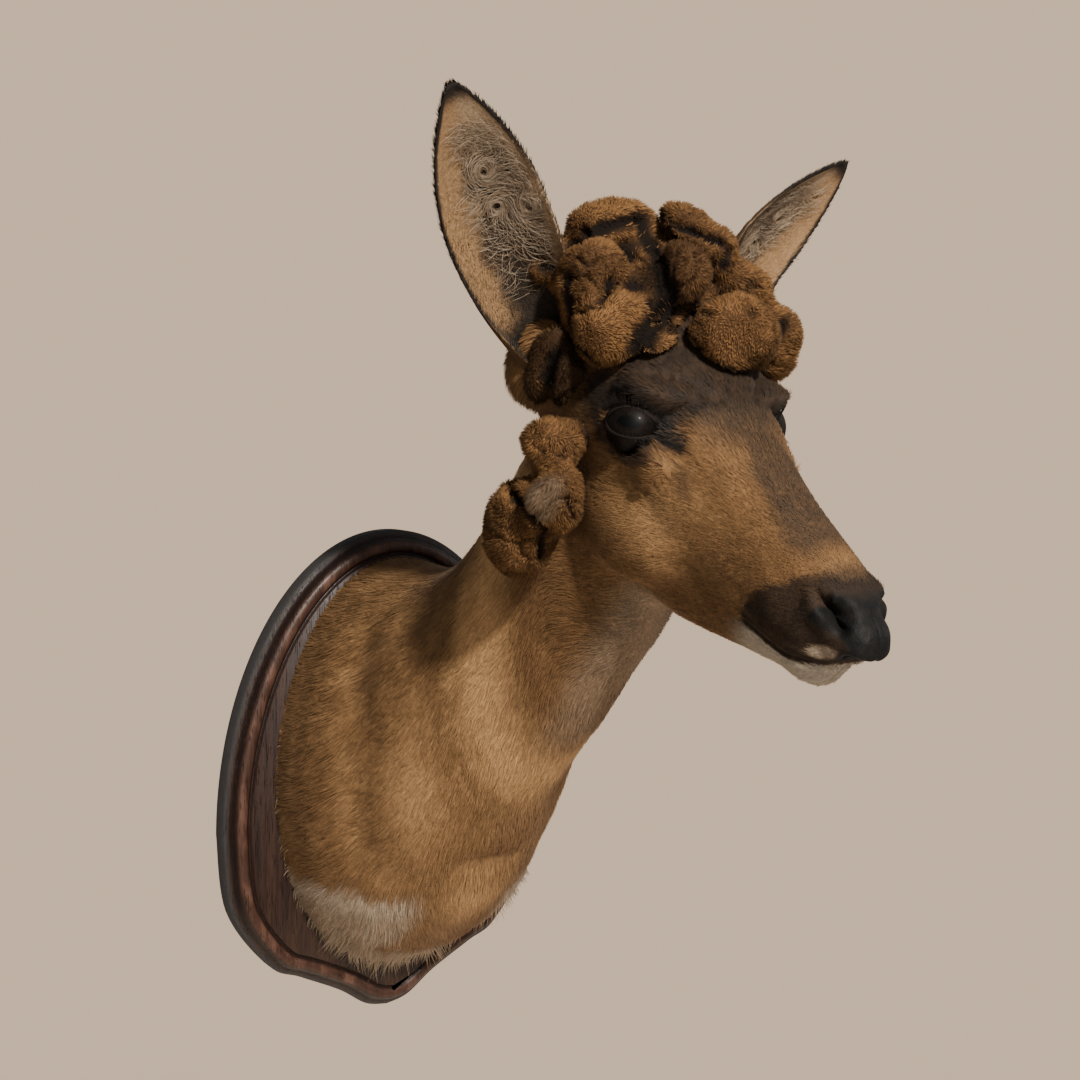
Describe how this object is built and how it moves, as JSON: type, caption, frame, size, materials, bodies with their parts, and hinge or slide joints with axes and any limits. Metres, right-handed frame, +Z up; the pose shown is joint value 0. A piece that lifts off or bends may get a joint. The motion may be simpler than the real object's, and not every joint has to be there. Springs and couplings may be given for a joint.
{
  "type": "roe deer shoulder mount",
  "caption": "Wall-hung shoulder mount of a roe buck whose antlers are a perruque, a soft mass of velvet lobes, on a shaped wooden board with a moulded edge.",
  "frame": {"origin": "on the flat back of the board, on its middle line, at half its height", "axes": "+Y out of the back of the board into the wall, the buck looks along -Y with its right side on -X, +Z up"},
  "size_m": [0.2395, 0.408, 0.5089],
  "materials": {
    "coat": "short rufous summer coat, paler under the neck, dark on the brow and muzzle",
    "nose_skin": "bare black nose skin, half gloss",
    "eye_glass": "polished dark glass eye",
    "velvet": "dense plush velvet with dark fissures",
    "board_wood": "dark red-brown stain under satin varnish, darker edge"
  },
  "bodies": {
    "root": {"head": "coat", "lower_jaw": "coat", "nose_pad": "nose_skin", "neck": "coat", "shoulders": "coat", "ear_right": "coat", "ear_left": "coat", "eye_right": "eye_glass", "eye_left": "eye_glass", "growth_crown_right": "velvet", "growth_crown_left": "velvet", "growth_temple_right": "velvet", "growth_cheek_right": "velvet", "board": "board_wood"}
  },
  "joints": []
}
